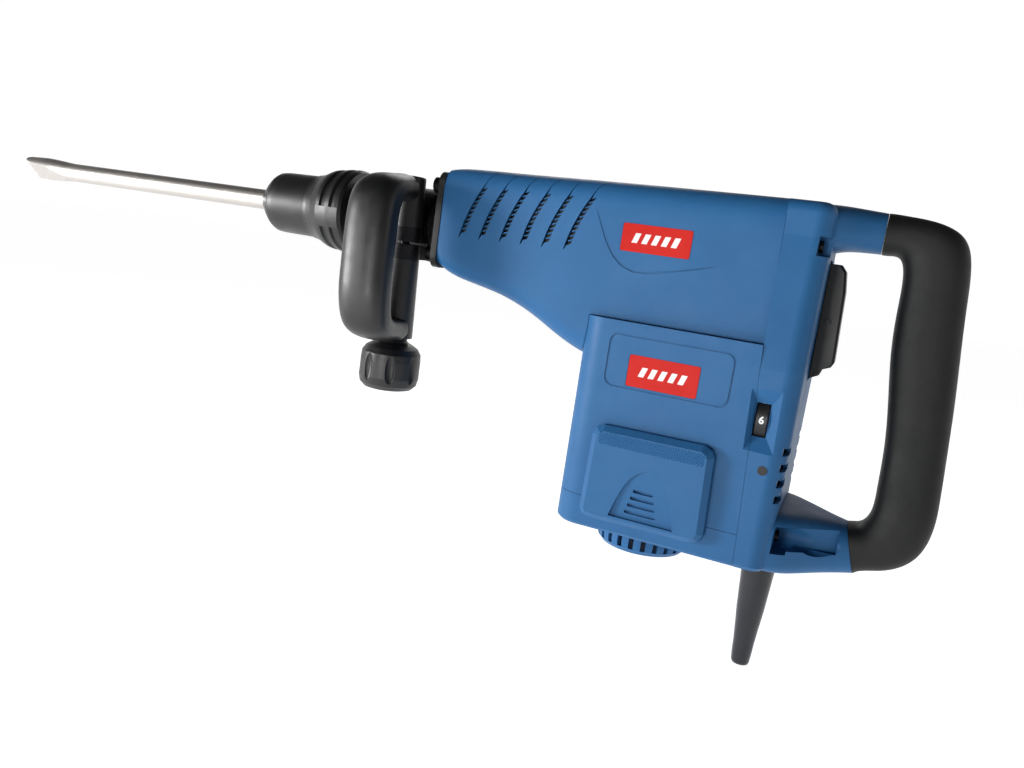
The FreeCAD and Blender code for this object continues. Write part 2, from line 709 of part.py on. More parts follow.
def make_end_cover():
    low = size("motor_foot")
    top = size("cover_top") - 0.3
    outline = [(330, top), (seam_x(top) - 0.2, top), (seam_x(low) - 0.2, low), (330, low)]
    outer = plan_solid(motor_plan(0, 500), low, top).common(side_solid(outline, 70))
    rim = [edge for edge in outer.Edges if edge.BoundBox.ZMax < low + 0.1 and edge.BoundBox.XMax < 474]
    outer = outer.makeChamfer(2.2, rim)
    inner = plan_solid(motor_plan(size("wall"), 476), low + 3, top + 5)
    shell = outer.cut(inner)
    shell = shell.cut(Part.makeCylinder(31, 20, Vector(size("motor_at"), 0, low - 5)))
    for side in (-1, 1):
        shell = shell.cut(Part.makeBox(70, 20, 10, Vector(380, side * 56 - 10, top - 9)))
    keep(solid("cover_shell", shell), "motor_end_cover")
    cap_top = low - 0.2
    cap = spun("cap_turned", [
        (0, low - 20.2), (26, low - 20.2), (32, low - 18.4), (35, low - 15), ("cap_radius", low - 11),
        ("cap_radius", cap_top), (33, cap_top), (33, low - 11), (31, low - 15.4), (0, low - 17.4)],
        "Z", (size("motor_at"), 0, 0))
    slots = []
    for index in range(24):
        slot = Part.makeBox(12, 3.8, 11, Vector(29, -1.9, low - 14.6))
        slot.rotate(Vector(0, 0, 0), Z, 15 * index)
        slots.append(slot)
    tool = group("cap_slots", slots)
    tool.Placement = Placement(Vector(size("motor_at"), 0, 0), Rotation())
    keep(cut("cap_cut", cap, tool), "air_cap")
    plate = Part.makeCylinder(34, 2.6, Vector(size("motor_at"), 0, -203.8))
    plate = plate.cut(Part.makeCylinder(5, 10, Vector(size("motor_at"), 0, -206)))
    seat = Part.makeCylinder(14, 12, Vector(size("motor_at"), 0, -201.2))
    seat = seat.cut(Part.makeCylinder(11.04, 14, Vector(size("motor_at"), 0, -199.2)))
    plate = plate.fuse(seat)
    for index in range(6):
        hole = Part.makeCylinder(6, 10, Vector(size("motor_at") + 23, 0, -206))
        hole.rotate(Vector(size("motor_at"), 0, 0), Z, 60 * index)
        plate = plate.cut(hole)
    keep(solid("low_plate", plate.removeSplitter()), "lower_bearing_plate")
    upper = Part.makeBox(109, 78, 4, Vector(349.5, -39, -70.6))
    upper = upper.fuse(Part.makeCylinder(19, 14, Vector(size("motor_at"), 0, -70.6)))
    upper = upper.fuse(Part.makeCylinder(13, 14, Vector(size("crank_at"), 0, -66.6)))
    upper = upper.cut(Part.makeCylinder(15.04, 14, Vector(size("motor_at"), 0, -66.5)))
    upper = upper.cut(Part.makeCylinder(7, 20, Vector(size("motor_at"), 0, -75)))
    upper = upper.cut(Part.makeCylinder(11.04, 16, Vector(size("crank_at"), 0, -64)))
    keep(solid("top_plate", upper.removeSplitter()), "upper_bearing_plate")


def make_brush_covers():
    outline = [(368, -133.5), (370.5, -129), (376, -126.2), (449, -125.4), (454.5, -128.2), (456.8, -133),
               (458.8, -189), (455.6, -194.6), (450, -196.4), (376, -197), (369.5, -195.6), (366.8, -191)]
    for side, word in ((-1, "near"), (1, "far")):
        base = side_cutter(outline, side, 56.05, 65.2)
        rim = [edge for edge in base.Edges if edge.BoundBox.YMin > 65.1 or edge.BoundBox.YMax < -65.1]
        shape = base.makeChamfer(4.2, rim)
        scoop = []
        for step in range(13):
            part = step / 12.0
            scoop.append((390 + 48 * part, -190.6 + 37.6 * (1 - abs(2 * part - 1) ** 2.4)))
        hollow = side_cutter(scoop, side, 62.4, 70)
        hollow.rotate(Vector(414, side * 64, -190), X, side * -2.5)
        shape = shape.cut(hollow)
        for index in range(4):
            length = 15 + 2.8 * index
            slot = rounded_panel(412.6 - length / 2, 412.6 + length / 2, -170.2 - 5.4 * index,
                                 -167.8 - 5.4 * index, 1.1, side, 60.4, 72)
            shape = shape.cut(slot)
        keep(solid("cover_" + word, shape.removeSplitter()), "brush_cover_" + word)


def corner_plan(half, back, radius, z):
    # plan outline of the rear housing with rounded rear corners
    bend = radius * (1 - math.sqrt(0.5))
    spots = [Vector(460, -half, z), Vector(back - radius, -half, z), Vector(back - bend, -half + bend, z),
             Vector(back, -half + radius, z), Vector(back, half - radius, z), Vector(back - bend, half - bend, z),
             Vector(back - radius, half, z), Vector(460, half, z)]
    edges = [Part.LineSegment(spots[0], spots[1]).toShape(), Part.Arc(spots[1], spots[2], spots[3]).toShape(),
             Part.LineSegment(spots[3], spots[4]).toShape(), Part.Arc(spots[4], spots[5], spots[6]).toShape(),
             Part.LineSegment(spots[6], spots[7]).toShape(), Part.LineSegment(spots[7], spots[0]).toShape()]
    return Part.Wire(edges)


def rear_body(inset):
    upper = size("housing_half") + 2 - inset
    lower = size("motor_half") - inset
    back = 503.6 - inset
    radius = 12.5 - inset / 2
    levels = [(upper, 49.0 - inset), (upper, 25), (lower, -66), (lower, -207.4 + inset)]
    parts = []
    for index in range(3):
        first, second = levels[index], levels[index + 1]
        parts.append(Part.makeLoft([corner_plan(first[0], back, radius, first[1]),
                                    corner_plan(second[0], back, radius, second[1])], True, True))
    body = parts[0].fuse(parts[1:]).removeSplitter()
    if inset == 0:
        rim = [edge for edge in body.Edges if edge.BoundBox.ZMin > 48.9 and edge.BoundBox.XMax > 461]
        body = body.makeFillet(8, [edge for edge in rim if edge.BoundBox.XMin > 459.9 and edge.Length > 5])
        rim = [edge for edge in body.Edges if edge.BoundBox.ZMax < -207.3 and edge.BoundBox.XMax > 461]
        body = body.makeChamfer(3, rim)
    front = side_solid([(seam_x(80), 80), (seam_x(47), 47), (seam_x(-50), -50), (seam_x(-230), -230),
                        (600, -230), (600, 80)], 80)
    return body.common(front)


def rear_arms(inset):
    half = size("grip_half") + 0.1 - inset
    top = [((490, 12), (490, 50.2), 44, 2.6), ((497, 15), (497, 50.8), 41, 2.6), ((505, 18.6), (505, 51), 34, 2.6),
           ((513, 20.4), (513, 50.7), 26, 2.6), ((522, 21), (522, 50.2), 20.6, 2.6),
           ((534.3, 21.2), (534.3, 49.4), half + inset, 2.6)]
    low = [((488, -166), (488, -210), 52.5, 5), ((498, -166), (499, -210.6), 52, 5), ((508, -166), (510, -210.8), 49, 5),
           ((518, -166.6), (521, -210.2), 40, 4.6), ((530, -167.6), (533.5, -208.6), 30.5, 4),
           ((540, -168.8), (546, -206.8), 23, 3.2), ((549.6, -169.8), (559.8, -204.6), half + inset, 2.6)]
    arms = []
    for stations in (top, low):
        moved = []
        for inner, outer, width, bow in stations:
            moved.append(((inner[0], inner[1] - inset * 0.98), (outer[0], outer[1] - inset * 1.02), width, bow))
        if stations is top:
            moved = [((a[0], a[1] + 1.98 * inset), b, w - inset, bow) for a, b, w, bow in moved]
        else:
            moved = [(a, (b[0], b[1] + 2.02 * inset), w - inset, bow) for a, b, w, bow in moved]
        arms.append(skin(moved, lambda spot: Vector(spot[0], 0, spot[1]), Y, 2.6, 32, True))
    return arms


def screw_recesses(grow):
    tools = []
    for side in (-1, 1):
        y = 30 - grow
        tools.append(Part.makeBox(24 + grow, 40, 13 + 2 * grow,
                                  Vector(495.6 - grow, y if side > 0 else -y - 40, 13.2 - grow)))
        tools.append(Part.makeCylinder(8.8 + grow, 60, Vector(504 - grow, side * 29.5, -183.8), X))
        tools.append(Part.makeBox(10 + grow, 40, 17.6 + 2 * grow,
                                  Vector(504 - grow, (29.5 if side > 0 else -69.5), -192.6 - grow)))
        channel = [(504 - grow, side * (27 - grow)), (546 + grow, side * (16.8 - grow)), (546 + grow, side * 60),
                   (504 - grow, side * 60)]
        tools.append(plan_solid(channel if side > 0 else channel[::-1], -190 - grow, -173.4 + grow))
    return tools


def make_rear_housing():
    outer = rear_body(0).fuse(rear_arms(0)).removeSplitter()
    inner = carve(rear_body(size("wall")).fuse(rear_arms(size("wall"))), screw_recesses(2.4))
    mouth = Part.makeBox(20, 88, 244, Vector(462, -44, -201))
    shell = carve(outer, [inner, mouth.common(rear_body(0)), Part.makeBox(30, 26, 86, Vector(500, -13, -73.4))])
    window = Part.makeBox(9.6, 20, 23.8, Vector(477.1, -60, -113.5))
    shell = shell.fuse(dial_pocket(-1, 2).common(rear_body(0)))
    tools = screw_recesses(0) + [dial_pocket(-1, 0), window]
    tools.append(Part.makeCylinder(3.3, 12, Vector(489.3, -60, -135), Y))
    tools.append(Part.makeBox(13.4, 13.4, 24, Vector(488.6, -6.7, -220)))
    for index in range(4):
        for side in (-1, 1):
            tools.append(Part.makeBox(10, 24, 5.4, Vector(499.8, -12 + side * 46, -123 - 11.3 * index)))
    for side in (-1, 1):
        tools.append(Part.makeCylinder(2.1, 20, Vector(480, side * 35.5, 19.8), X))
        tools.append(Part.makeCylinder(2.1, 26, Vector(480, side * 32, -183.8), X))
    shell = carve(shell, tools)
    for side, word in ((-1, "near"), (1, "far")):
        keep_box = Part.makeBox(200, 80, 320, Vector(450, 0 if side > 0 else -80, -250))
        keep(solid("rear_half_" + word, shell.common(keep_box)), "rear_housing_" + word)


def make_rear_grip():
    half = size("grip_half")
    stations = [
        ((534.6, 21.2), (534.6, 49.4), half), ((541, 21.2), (546, 49), half), ((547.2, 19.6), (566, 46.8), half),
        ((550.2, 13), (582.4, 39.4), half), ((551.6, 2), (590.6, 22), half - 0.3), ((552.0, -12), (593.4, -2), half - 0.6),
        ((553.2, -38), (596, -32), half - 0.8), ((558.6, -78), (600, -74), half - 0.8),
        ((562.6, -112), (602.6, -110), half - 0.6), ((563.8, -142), (604.6, -142), half - 0.3),
        ((563.6, -156), (604.2, -163), half), ((560.4, -165), (596.2, -185), half),
        ((555.6, -168.6), (576.6, -198), half), ((549.9, -169.8), (560.1, -204.6), half)]
    shape = skin(stations, lambda spot: Vector(spot[0], 0, spot[1]), Y)
    keep(solid("rear_loop", shape), "rear_grip")


# ---------------------------------------------------------------- auxiliary handle

def make_aux_handle():
    at = size("clamp_at")
    out = -size("clamp_out")
    stations = [
        ((-44, 14), (-44, 34), 11.5), ((-58, 13.5), (-60, 33.6), 14), ((-69, 10), (-80, 31.4), 17.2),
        ((-75, 3), (-96, 22.5), 19.4), ((-77.5, -9), (-103.6, 0), 20.4), ((-78.2, -38), (-106, -38), 20.6),
        ((-77.6, -64), (-104, -73), 20.6), ((-75, -73), (-96, -90), 19.6), ((-68.5, -77.5), (-78, -97), 17.5),
        ((-58, -79), (-58, -98.4), 15), ((-44, -79), (-44, -97.2), 13)]

    def middle(spot):
        return Vector(at + 1.6 - 0.035 * (spot[1] + 30), spot[0], spot[1])

    loop = skin(stations, middle, X)
    post = Part.makeCone(15.0, 10.8, 130.8, Vector(at + 0.6, out, -96.6), Z)
    top_edge = [edge for edge in post.Edges if edge.BoundBox.ZMin > 34]
    shape = loop.fuse(post.makeFillet(1.6, top_edge))
    shape = shape.cut([
        Part.makeBox(60, 40, 25.6, Vector(at - 30, out - 22, -31.9)),
        Part.makeBox(60, 60, 20, Vector(at - 30, out - 24, -116.6)),
        Part.makeCylinder(28.3, 60, Vector(at - 30, 0, 0), X),
        Part.makeCylinder(4.3, 200, Vector(at, out, -150)),
        Part.makeCylinder(7.6, 10, Vector(at, out, 27.4))])
    keep(solid("loop_handle", shape), "aux_handle")
    band = Part.makeCylinder(28, 24, Vector(at - 12, 0, 0), X)
    ear = Part.makeBox(22, 25.5, 25, Vector(at - 11, out, -31.6))
    boss = Part.makeCone(13.0, 12.2, 25, Vector(at + 0.6, out, -31.6), Z)
    band = band.fuse([ear, boss]).cut([
        Part.makeCylinder(25.08, 40, Vector(at - 20, 0, 0), X),
        Part.makeBox(40, 40, 2.2, Vector(at - 20, -60, -20.1)),
        Part.makeCylinder(4.3, 80, Vector(at, out, -60))])
    keep(solid("clamp_band", band.removeSplitter()), "handle_band")
    bolt = Part.makeCylinder(4.0, 154, Vector(at, out, -121))
    keep(solid("tie_bolt", bolt), "clamp_bolt")
    spots = []
    for index in range(7):
        angle = math.radians(60 * index)
        spots.append(Vector(at + 7.4 * math.cos(angle), out + 7.4 * math.sin(angle), 27.6))
    hexagon = Part.Face(Part.makePolygon(spots)).extrude(Z * 5.6)
    keep(solid("top_nut", hexagon.cut(Part.makeCylinder(4.0, 20, Vector(at, out, 24)))), "clamp_nut")
    washer = Part.makeCylinder(11.6, 1.6, Vector(at, out, -98.4)).cut(
        Part.makeCylinder(4.3, 10, Vector(at, out, -102)))
    keep(solid("thrust_washer", washer), "knob_washer")
    radius = size("knob_radius")
    body = spun("knob_turned", [
        (4.06, -98.8), (11.6, -98.8), (12.6, -100.6), (16.5, -102.4), (21.6, -105.6), (radius - 0.6, -110),
        ("knob_radius", -116), ("knob_radius", -130), (radius - 1.4, -136), (radius - 5, -139.6),
        (radius - 9, -140.6), (0, -140.8), (0, -124), (4.06, -124)], "Z", (at, out, 0))
    flutes = []
    for index in range(8):
        angle = math.radians(-58 + 45 * index)
        flute = Part.makeSphere(1)
        matrix = FreeCAD.Matrix()
        matrix.scale(Vector(4.6, 4.6, 14.0))
        flute = flute.transformGeometry(matrix)
        flute.translate(Vector((radius + 1.8) * math.cos(angle), (radius + 1.8) * math.sin(angle), -122))
        flutes.append(flute)
    tool = group("knob_flutes", flutes)
    tool.Placement = Placement(Vector(at, out, 0), Rotation())
    keep(cut("knob_cut", body, tool), "clamp_knob")


# ---------------------------------------------------------------- gear case, controls, small parts

def make_gear_case():
    outer = rounded_front(37, -31, 38, 5, 210.2, 292).fuse(rounded_front(40.5, -46, 39, 8, 288, 392))
    bore = Part.makeCylinder(19.54, 120, Vector(205, 0, 0), X)
    room = Part.makeBox(94, 76.8, 78, Vector(294, -38.4, -41.7))
    shape = outer.cut(bore).cut(room)
    shape = shape.cut(Part.makeCylinder(38, 20, Vector(size("crank_at"), 0, -50)).common(
        Part.makeBox(200, 76.8, 40, Vector(294, -38.4, -60))))
    shape = shape.cut(Part.makeCylinder(11, 30, Vector(size("motor_at"), 0, -60)))
    for y, z in corner_spots():
        shape = shape.cut(Part.makeCylinder(4.04, 28, Vector(208, y, z), X))
    keep(solid("case", shape.removeSplitter()), "gear_case")


def make_controls():
    profile = [(504, 10.4), (511.4, 10.4), (515, 6), (517, -8), (518.7, -50), (519, -58), (517.4, -61.2),
               (512, -63.6), (510.6, -68), (504.4, -71.2)]
    rocker = side_solid(profile, 11.5)
    edges = [edge for edge in rocker.Edges if edge.BoundBox.XMin > 511 and edge.BoundBox.YMax - edge.BoundBox.YMin < 1]
    rocker = rocker.makeChamfer(1.6, edges)
    hole = Part.makeCylinder(2.1, 40, Vector(509.5, -20, -30), Y)
    keep(solid("rocker", rocker.cut(hole)), "switch_rocker")
    pivot = rod("pivot", 2.0, 25.6, (509.5, -12.8, -30), Y)
    module = block("module", (482, -12, -58), (499.4, 12, -4))
    pair = doc.addObject("Part::Compound", "switch_pair")
    pair.Links = [module, pivot]
    keep(pair, "switch_module")
    wheel = Part.makeCylinder(size("dial_radius"), 8.6, Vector(477.8, -33.2, -101.5), X)
    rim = [edge for edge in wheel.Edges if edge.Length > 100]
    wheel = wheel.makeChamfer(0.7, rim).cut(Part.makeCylinder(2.55, 20, Vector(475, -33.2, -101.5), X))
    keep(solid("wheel", wheel), "speed_dial")
    spindle = rod("spindle", 2.5, 11, (476.4, -33.2, -101.5), X)
    board = block("board", (482, -8, -160), (499.4, 14, -82))
    pair = doc.addObject("Part::Compound", "board_pair")
    pair.Links = [board, spindle]
    keep(pair, "electronics_module")
    keep(rod("lamp", 3.2, 8, (489.3, -56.3, -135), Y), "service_led")
    boot = spun("boot_turned", [
        (4.4, -213.6), (11.4, -213.6), (12.6, -214.6), (12.2, -222), (11.2, -238), (10.2, -254),
        (8.9, -268), (7.9, -280), (7.4, -290), (6.9, -296), (6.2, -297.6), (4.4, -297.6)],
        "Z", (495.3, 0, 0))
    neck = Part.makeBox(13, 13, 8.4, Vector(488.8, -6.5, -214)).cut(
        Part.makeCylinder(4.4, 20, Vector(495.3, 0, -220)))
    keep(fuse("boot_whole", [boot, solid("boot_neck", neck)]), "cord_boot")
    clamp = Part.makeBox(8, 30, 10, Vector(491.3, -15, -204)).cut(
        Part.makeCylinder(4.4, 20, Vector(495.3, 0, -209)))
    keep(solid("strain_clamp", clamp), "cord_clamp")


def make_labels():
    plates = []
    for side in (-1, 1):
        plates.append(rounded_panel(362.2, 412.8, -0.9, 18.9, 1.6, side, 47.45, 48.1))
        plates.append(rounded_panel(384.8, 436, -95.7, -72.9, 1.6, side, 55.44, 56.1))
    keep(group("plates", plates), "label_plates")
    screws = []
    for side in (-1, 1):
        for x, y, z in ((495.8, 35.5, 19.8), (504.2, 32, -183.8)):
            screw = Part.makeCylinder(4.2, 2.6, Vector(x, side * y, z), X)
            screw = screw.cut(Part.makeCylinder(2.0, 2, Vector(x + 1.2, side * y, z), X))
            screws.append(screw.fuse(Part.makeCylinder(2, 14, Vector(x - 14, side * y, z), X)))
    keep(group("case_screws", screws), "housing_screws")


make_chisel()
make_holder()
make_sleeve()
make_ring()
make_barrel()
make_impact_parts()
make_gears()
make_armature()
make_stator()
make_upper_housing()
make_motor_housing()
make_end_cover()
make_brush_covers()
make_rear_housing()
make_rear_grip()
make_aux_handle()
make_gear_case()
make_controls()
make_labels()

doc.recompute()
for thing in doc.Objects:
    for flag in ("Invalid", "Error"):
        if flag in thing.State:
            raise RuntimeError("%s is %s" % (thing.Label, flag))

os.makedirs("parts", exist_ok=True)
for thing in nodes:
    shape = thing.Shape
    if shape.isNull() or not shape.isValid():
        raise RuntimeError("%s has no valid shape" % thing.Label)
    if shape.Volume <= 0:
        raise RuntimeError("%s has no volume" % thing.Label)
    print("%-24s %9.1f mm3  solids %d" % (thing.Label, shape.Volume, len(shape.Solids)))
    placed = shape.copy()
    placed.translate(Vector(-size("nose_front"), 0, 0))
    placed.exportStep("parts/%s.step" % thing.Label)
print("nodes", len(nodes))
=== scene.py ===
import json
import math
import bpy
from mathutils import Matrix, Vector


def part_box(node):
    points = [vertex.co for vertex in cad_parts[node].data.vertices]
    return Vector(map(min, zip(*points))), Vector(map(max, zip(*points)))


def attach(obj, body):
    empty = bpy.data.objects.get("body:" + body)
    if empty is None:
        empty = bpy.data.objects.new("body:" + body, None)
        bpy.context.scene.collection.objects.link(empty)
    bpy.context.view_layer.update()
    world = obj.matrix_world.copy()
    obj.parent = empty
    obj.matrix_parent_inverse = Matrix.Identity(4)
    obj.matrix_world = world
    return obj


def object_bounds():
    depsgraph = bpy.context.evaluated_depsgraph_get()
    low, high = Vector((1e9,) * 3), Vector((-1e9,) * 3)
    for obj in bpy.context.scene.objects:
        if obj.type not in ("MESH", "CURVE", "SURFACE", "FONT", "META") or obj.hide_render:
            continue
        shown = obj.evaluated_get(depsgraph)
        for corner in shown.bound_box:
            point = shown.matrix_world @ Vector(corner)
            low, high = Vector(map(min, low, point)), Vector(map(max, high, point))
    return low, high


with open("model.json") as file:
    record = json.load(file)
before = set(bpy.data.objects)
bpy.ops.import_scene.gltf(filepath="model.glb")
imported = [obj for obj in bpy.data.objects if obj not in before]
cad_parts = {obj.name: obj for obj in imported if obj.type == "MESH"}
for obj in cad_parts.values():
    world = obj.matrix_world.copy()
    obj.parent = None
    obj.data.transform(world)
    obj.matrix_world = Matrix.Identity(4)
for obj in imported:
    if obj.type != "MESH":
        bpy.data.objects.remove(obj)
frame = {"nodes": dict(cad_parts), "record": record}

# All lengths are in metres. X runs back from the nose, Z up, and the near side faces -Y.
cad_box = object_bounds()
nodes = frame["nodes"]
SIDES = ((-1, "near"), (1, "far"))


# ------------------------------------------------------------------ shader helpers

def new_material(name):
    mat = bpy.data.materials.new(name)
    mat.use_nodes = True
    tree = mat.node_tree
    tree.nodes.clear()
    out = tree.nodes.new("ShaderNodeOutputMaterial")
    shader = tree.nodes.new("ShaderNodeBsdfPrincipled")
    tree.links.new(shader.outputs[0], out.inputs[0])
    return mat, tree, shader


def add(tree, kind, **values):
    node = tree.nodes.new(kind)
    for key, value in values.items():
        setattr(node, key, value)
    return node


def place(tree, scale=(1, 1, 1)):
    coords = add(tree, "ShaderNodeTexCoord")
    mapping = add(tree, "ShaderNodeMapping")
    mapping.inputs["Scale"].default_value = scale
    tree.links.new(coords.outputs["Object"], mapping.inputs["Vector"])
    return mapping.outputs["Vector"]


def noise(tree, vector, scale, detail, rough):
    node = add(tree, "ShaderNodeTexNoise")
    node.inputs["Scale"].default_value = scale
    node.inputs["Detail"].default_value = detail
    node.inputs["Roughness"].default_value = rough
    tree.links.new(vector, node.inputs["Vector"])
    return node.outputs["Fac"]


def ramp(tree, fac, stops):
    # a two-colour ramp
    node = add(tree, "ShaderNodeValToRGB")
    for element, (spot, colour) in zip(node.color_ramp.elements, stops):
        element.position = spot
        element.color = (*colour, 1.0)
    tree.links.new(fac, node.inputs["Fac"])
    return node.outputs["Color"]


def product(tree, a, b):
    node = add(tree, "ShaderNodeMath", operation="MULTIPLY")
    for index, value in enumerate((a, b)):
        if isinstance(value, float):
            node.inputs[index].default_value = value
        else:
            tree.links.new(value, node.inputs[index])
    return node.outputs[0]


def span(tree, value, low, high, out_low, out_high):
    node = add(tree, "ShaderNodeMapRange")
    node.inputs["From Min"].default_value = low
    node.inputs["From Max"].default_value = high
    node.inputs["To Min"].default_value = out_low
    node.inputs["To Max"].default_value = out_high
    tree.links.new(value, node.inputs["Value"])
    return node.outputs["Result"]


def blend_colour(tree, fac, first, second):
    # from a linked colour to a fixed one
    node = add(tree, "ShaderNodeMix", data_type="RGBA")
    tree.links.new(fac, node.inputs["Factor"])
    tree.links.new(first, node.inputs["A"])
    node.inputs["B"].default_value = (*second, 1.0)
    return node.outputs["Result"]


def bump(tree, height, strength, distance, before=None):
    node = add(tree, "ShaderNodeBump")
    node.inputs["Strength"].default_value = strength
    node.inputs["Distance"].default_value = distance
    tree.links.new(height, node.inputs["Height"])
    if before is not None:
        tree.links.new(before, node.inputs["Normal"])
    return node.outputs["Normal"]


# ------------------------------------------------------------------ materials

# noise scales are in cycles per metre
TONE_SCALE = 22.0
SPECK_SCALE = 900.0
SMEAR_SCALE = 55.0
PATCH_SCALE = 45.0
SPECK_SHADE = 0.72
STAIN_SHADE = 0.55


def moulded(name, dark, light, rough, grain, depth, specular=0.5):
    # moulded plastic or rubber: slow tone drift, dark specks, faint smears and spark-eroded grain
    mat, tree, shader = new_material(name)
    vector = place(tree)
    tone = noise(tree, vector, TONE_SCALE, 5.0, 0.6)
    colour = ramp(tree, tone, [(0.3, dark), (0.7, light)])
    specks = span(tree, noise(tree, vector, SPECK_SCALE, 2.0, 0.7), 0.66, 0.74, 0.0, 0.35)
    colour = blend_colour(tree, specks, colour, tuple(SPECK_SHADE * part for part in dark))
    tree.links.new(colour, shader.inputs["Base Color"])
    fine = noise(tree, vector, grain, 2.0, 0.6)
    smear = noise(tree, vector, SMEAR_SCALE, 4.0, 0.65)
    tree.links.new(span(tree, smear, 0.3, 0.7, rough[0], rough[1]), shader.inputs["Roughness"])
    waves = bump(tree, smear, 0.25, depth * 4)
    tree.links.new(bump(tree, fine, 0.6, depth, waves), shader.inputs["Normal"])
    shader.inputs["Specular IOR Level"].default_value = specular
    return mat


def metal(name, dark, light, rough, stretch=(1, 1, 1), scale=200.0, depth=0.00004, stain=0.35):
    # machined, wound or cast metal: lines along the unstretched axes and darker patches
    mat, tree, shader = new_material(name)
    vector = place(tree, stretch)
    lines = noise(tree, vector, scale, 4.0, 0.65)
    patches = noise(tree, place(tree), PATCH_SCALE, 4.0, 0.6)
    colour = ramp(tree, lines, [(0.25, dark), (0.78, light)])
    stained = span(tree, patches, 0.52, 0.72, 0.0, stain)
    colour = blend_colour(tree, stained, colour, tuple(STAIN_SHADE * part for part in dark))
    tree.links.new(colour, shader.inputs["Base Color"])
    tree.links.new(span(tree, lines, 0.3, 0.7, rough[0], rough[1]), shader.inputs["Roughness"])
    tree.links.new(bump(tree, lines, 0.4, depth), shader.inputs["Normal"])
    shader.inputs["Metallic"].default_value = 1.0
    return mat


# dark colour, light colour, roughness range, grain in cycles per metre, grain depth, specular level
blue = moulded(
    "blue_plastic", (0.0200, 0.106, 0.262), (0.0250, 0.122, 0.290), (0.42, 0.54), 2300.0, 0.00006, 0.22)
black = moulded(
    "black_plastic", (0.0060, 0.0062, 0.0070), (0.0100, 0.0100, 0.0105), (0.34, 0.48), 2000.0, 0.00008)
grip = moulded(
    "grip_rubber", (0.0080, 0.0088, 0.0086), (0.0135, 0.0142, 0.0130), (0.50, 0.62), 1300.0, 0.00018, 0.30)
rubber = moulded(
    "cap_rubber", (0.0060, 0.0065, 0.0100), (0.0110, 0.0115, 0.0160), (0.24, 0.40), 1700.0, 0.00004)
casting = moulded(
    "black_casting", (0.0090, 0.0090, 0.0095), (0.0200, 0.0200, 0.0200), (0.34, 0.52), 800.0, 0.00016, 0.40)
lens = moulded("smoked_lens", (0.006, 0.005, 0.005), (0.012, 0.009, 0.009), (0.10, 0.18), 300.0, 0.00001)
red = moulded(
    "red_plate", (0.50, 0.012, 0.008), (0.56, 0.018, 0.012), (0.42, 0.50), 900.0, 0.00001, 0.12)
white = moulded("white_print", (0.70, 0.70, 0.70), (0.82, 0.82, 0.82), (0.35, 0.5), 900.0, 0.00001)
carbon = moulded(
    "carbon_block", (0.010, 0.010, 0.010), (0.025, 0.025, 0.025), (0.5, 0.65), 1400.0, 0.0001)

# dark colour, light colour, roughness range, stretch of the lines, their scale, their depth, stain
steel = metal(
    "brushed_steel", (0.46, 0.435, 0.41), (0.58, 0.555, 0.53), (0.42, 0.50), (0.05, 1, 1), 1500.0, 0.00001,
    0.12)
blued = metal(
    "black_oxide", (0.016, 0.016, 0.018), (0.042, 0.042, 0.045), (0.42, 0.56), (1, 1, 1), 300.0, 0.00004)
laminated = metal(
    "laminations", (0.10, 0.10, 0.11), (0.26, 0.26, 0.27), (0.4, 0.55), (1, 1, 60), 60.0, 0.0001)
copper = metal(
    "enamelled_copper", (0.30, 0.10, 0.04), (0.55, 0.22, 0.09), (0.3, 0.45), (8, 8, 60), 30.0, 0.0002)
brass = metal("spring_brass", (0.45, 0.30, 0.10), (0.62, 0.46, 0.20), (0.28, 0.42))
aluminium = metal(
    "cast_aluminium", (0.055, 0.056, 0.058), (0.11, 0.112, 0.115), (0.55, 0.70), (1, 1, 1), 400.0, 0.0001)

PAINT = {
    "steel": steel, "blued_steel": blued, "laminated_steel": laminated, "copper_winding": copper,
    "carbon": carbon, "spring_brass": brass, "cast_aluminium": aluminium, "black_casting": casting,
    "blue_plastic": blue, "black_plastic": black, "soft_grip": grip, "rubber": rubber, "lamp": lens,
    "red_plate": red,
}

for entry in frame["record"]["subparts"]:
    mesh = nodes[entry["node"]].data
    mesh.materials.clear()
    mesh.materials.append(PAINT[entry["material_slot"]])


# ------------------------------------------------------------------ rounded edges

def soften(name, width=0.0006, angle=28.0, segments=2):
    thing = nodes[name]
    for polygon in thing.data.polygons:
        polygon.use_smooth = True
    edge = thing.modifiers.new("edge", "BEVEL")
    edge.width = width
    edge.segments = segments
    edge.limit_method = "ANGLE"
    edge.angle_limit = math.radians(angle)
    edge.harden_normals = True
    edge.use_clamp_overlap = True


for name in nodes:
    if name == "upper_housing":
        # its vent slots lie close together, so their edges get a smaller bevel
        soften(name, 0.0004, 40.0, 1)
    else:
        soften(name)


# ------------------------------------------------------------------ small visible details

def piece(name, points, faces, material, body):
    mesh = bpy.data.meshes.new(name)
    mesh.from_pydata([tuple(point) for point in points], [], faces)
    mesh.materials.append(material)
    mesh.update()
    thing = bpy.data.objects.new(name, mesh)
    bpy.context.scene.collection.objects.link(thing)
    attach(thing, body)


DASH_COUNT = 5
DASH_PITCH = 0.0072
DASH_WIDTH = 0.0040
DASH_HEIGHT = 0.0070
DASH_SLANT = 0.35
DASH_LIFT = 0.00012
UPPER_LABEL = (0.3795, 0.0481, 0.0090)
LOWER_LABEL = (0.4024, 0.0561, -0.0843)


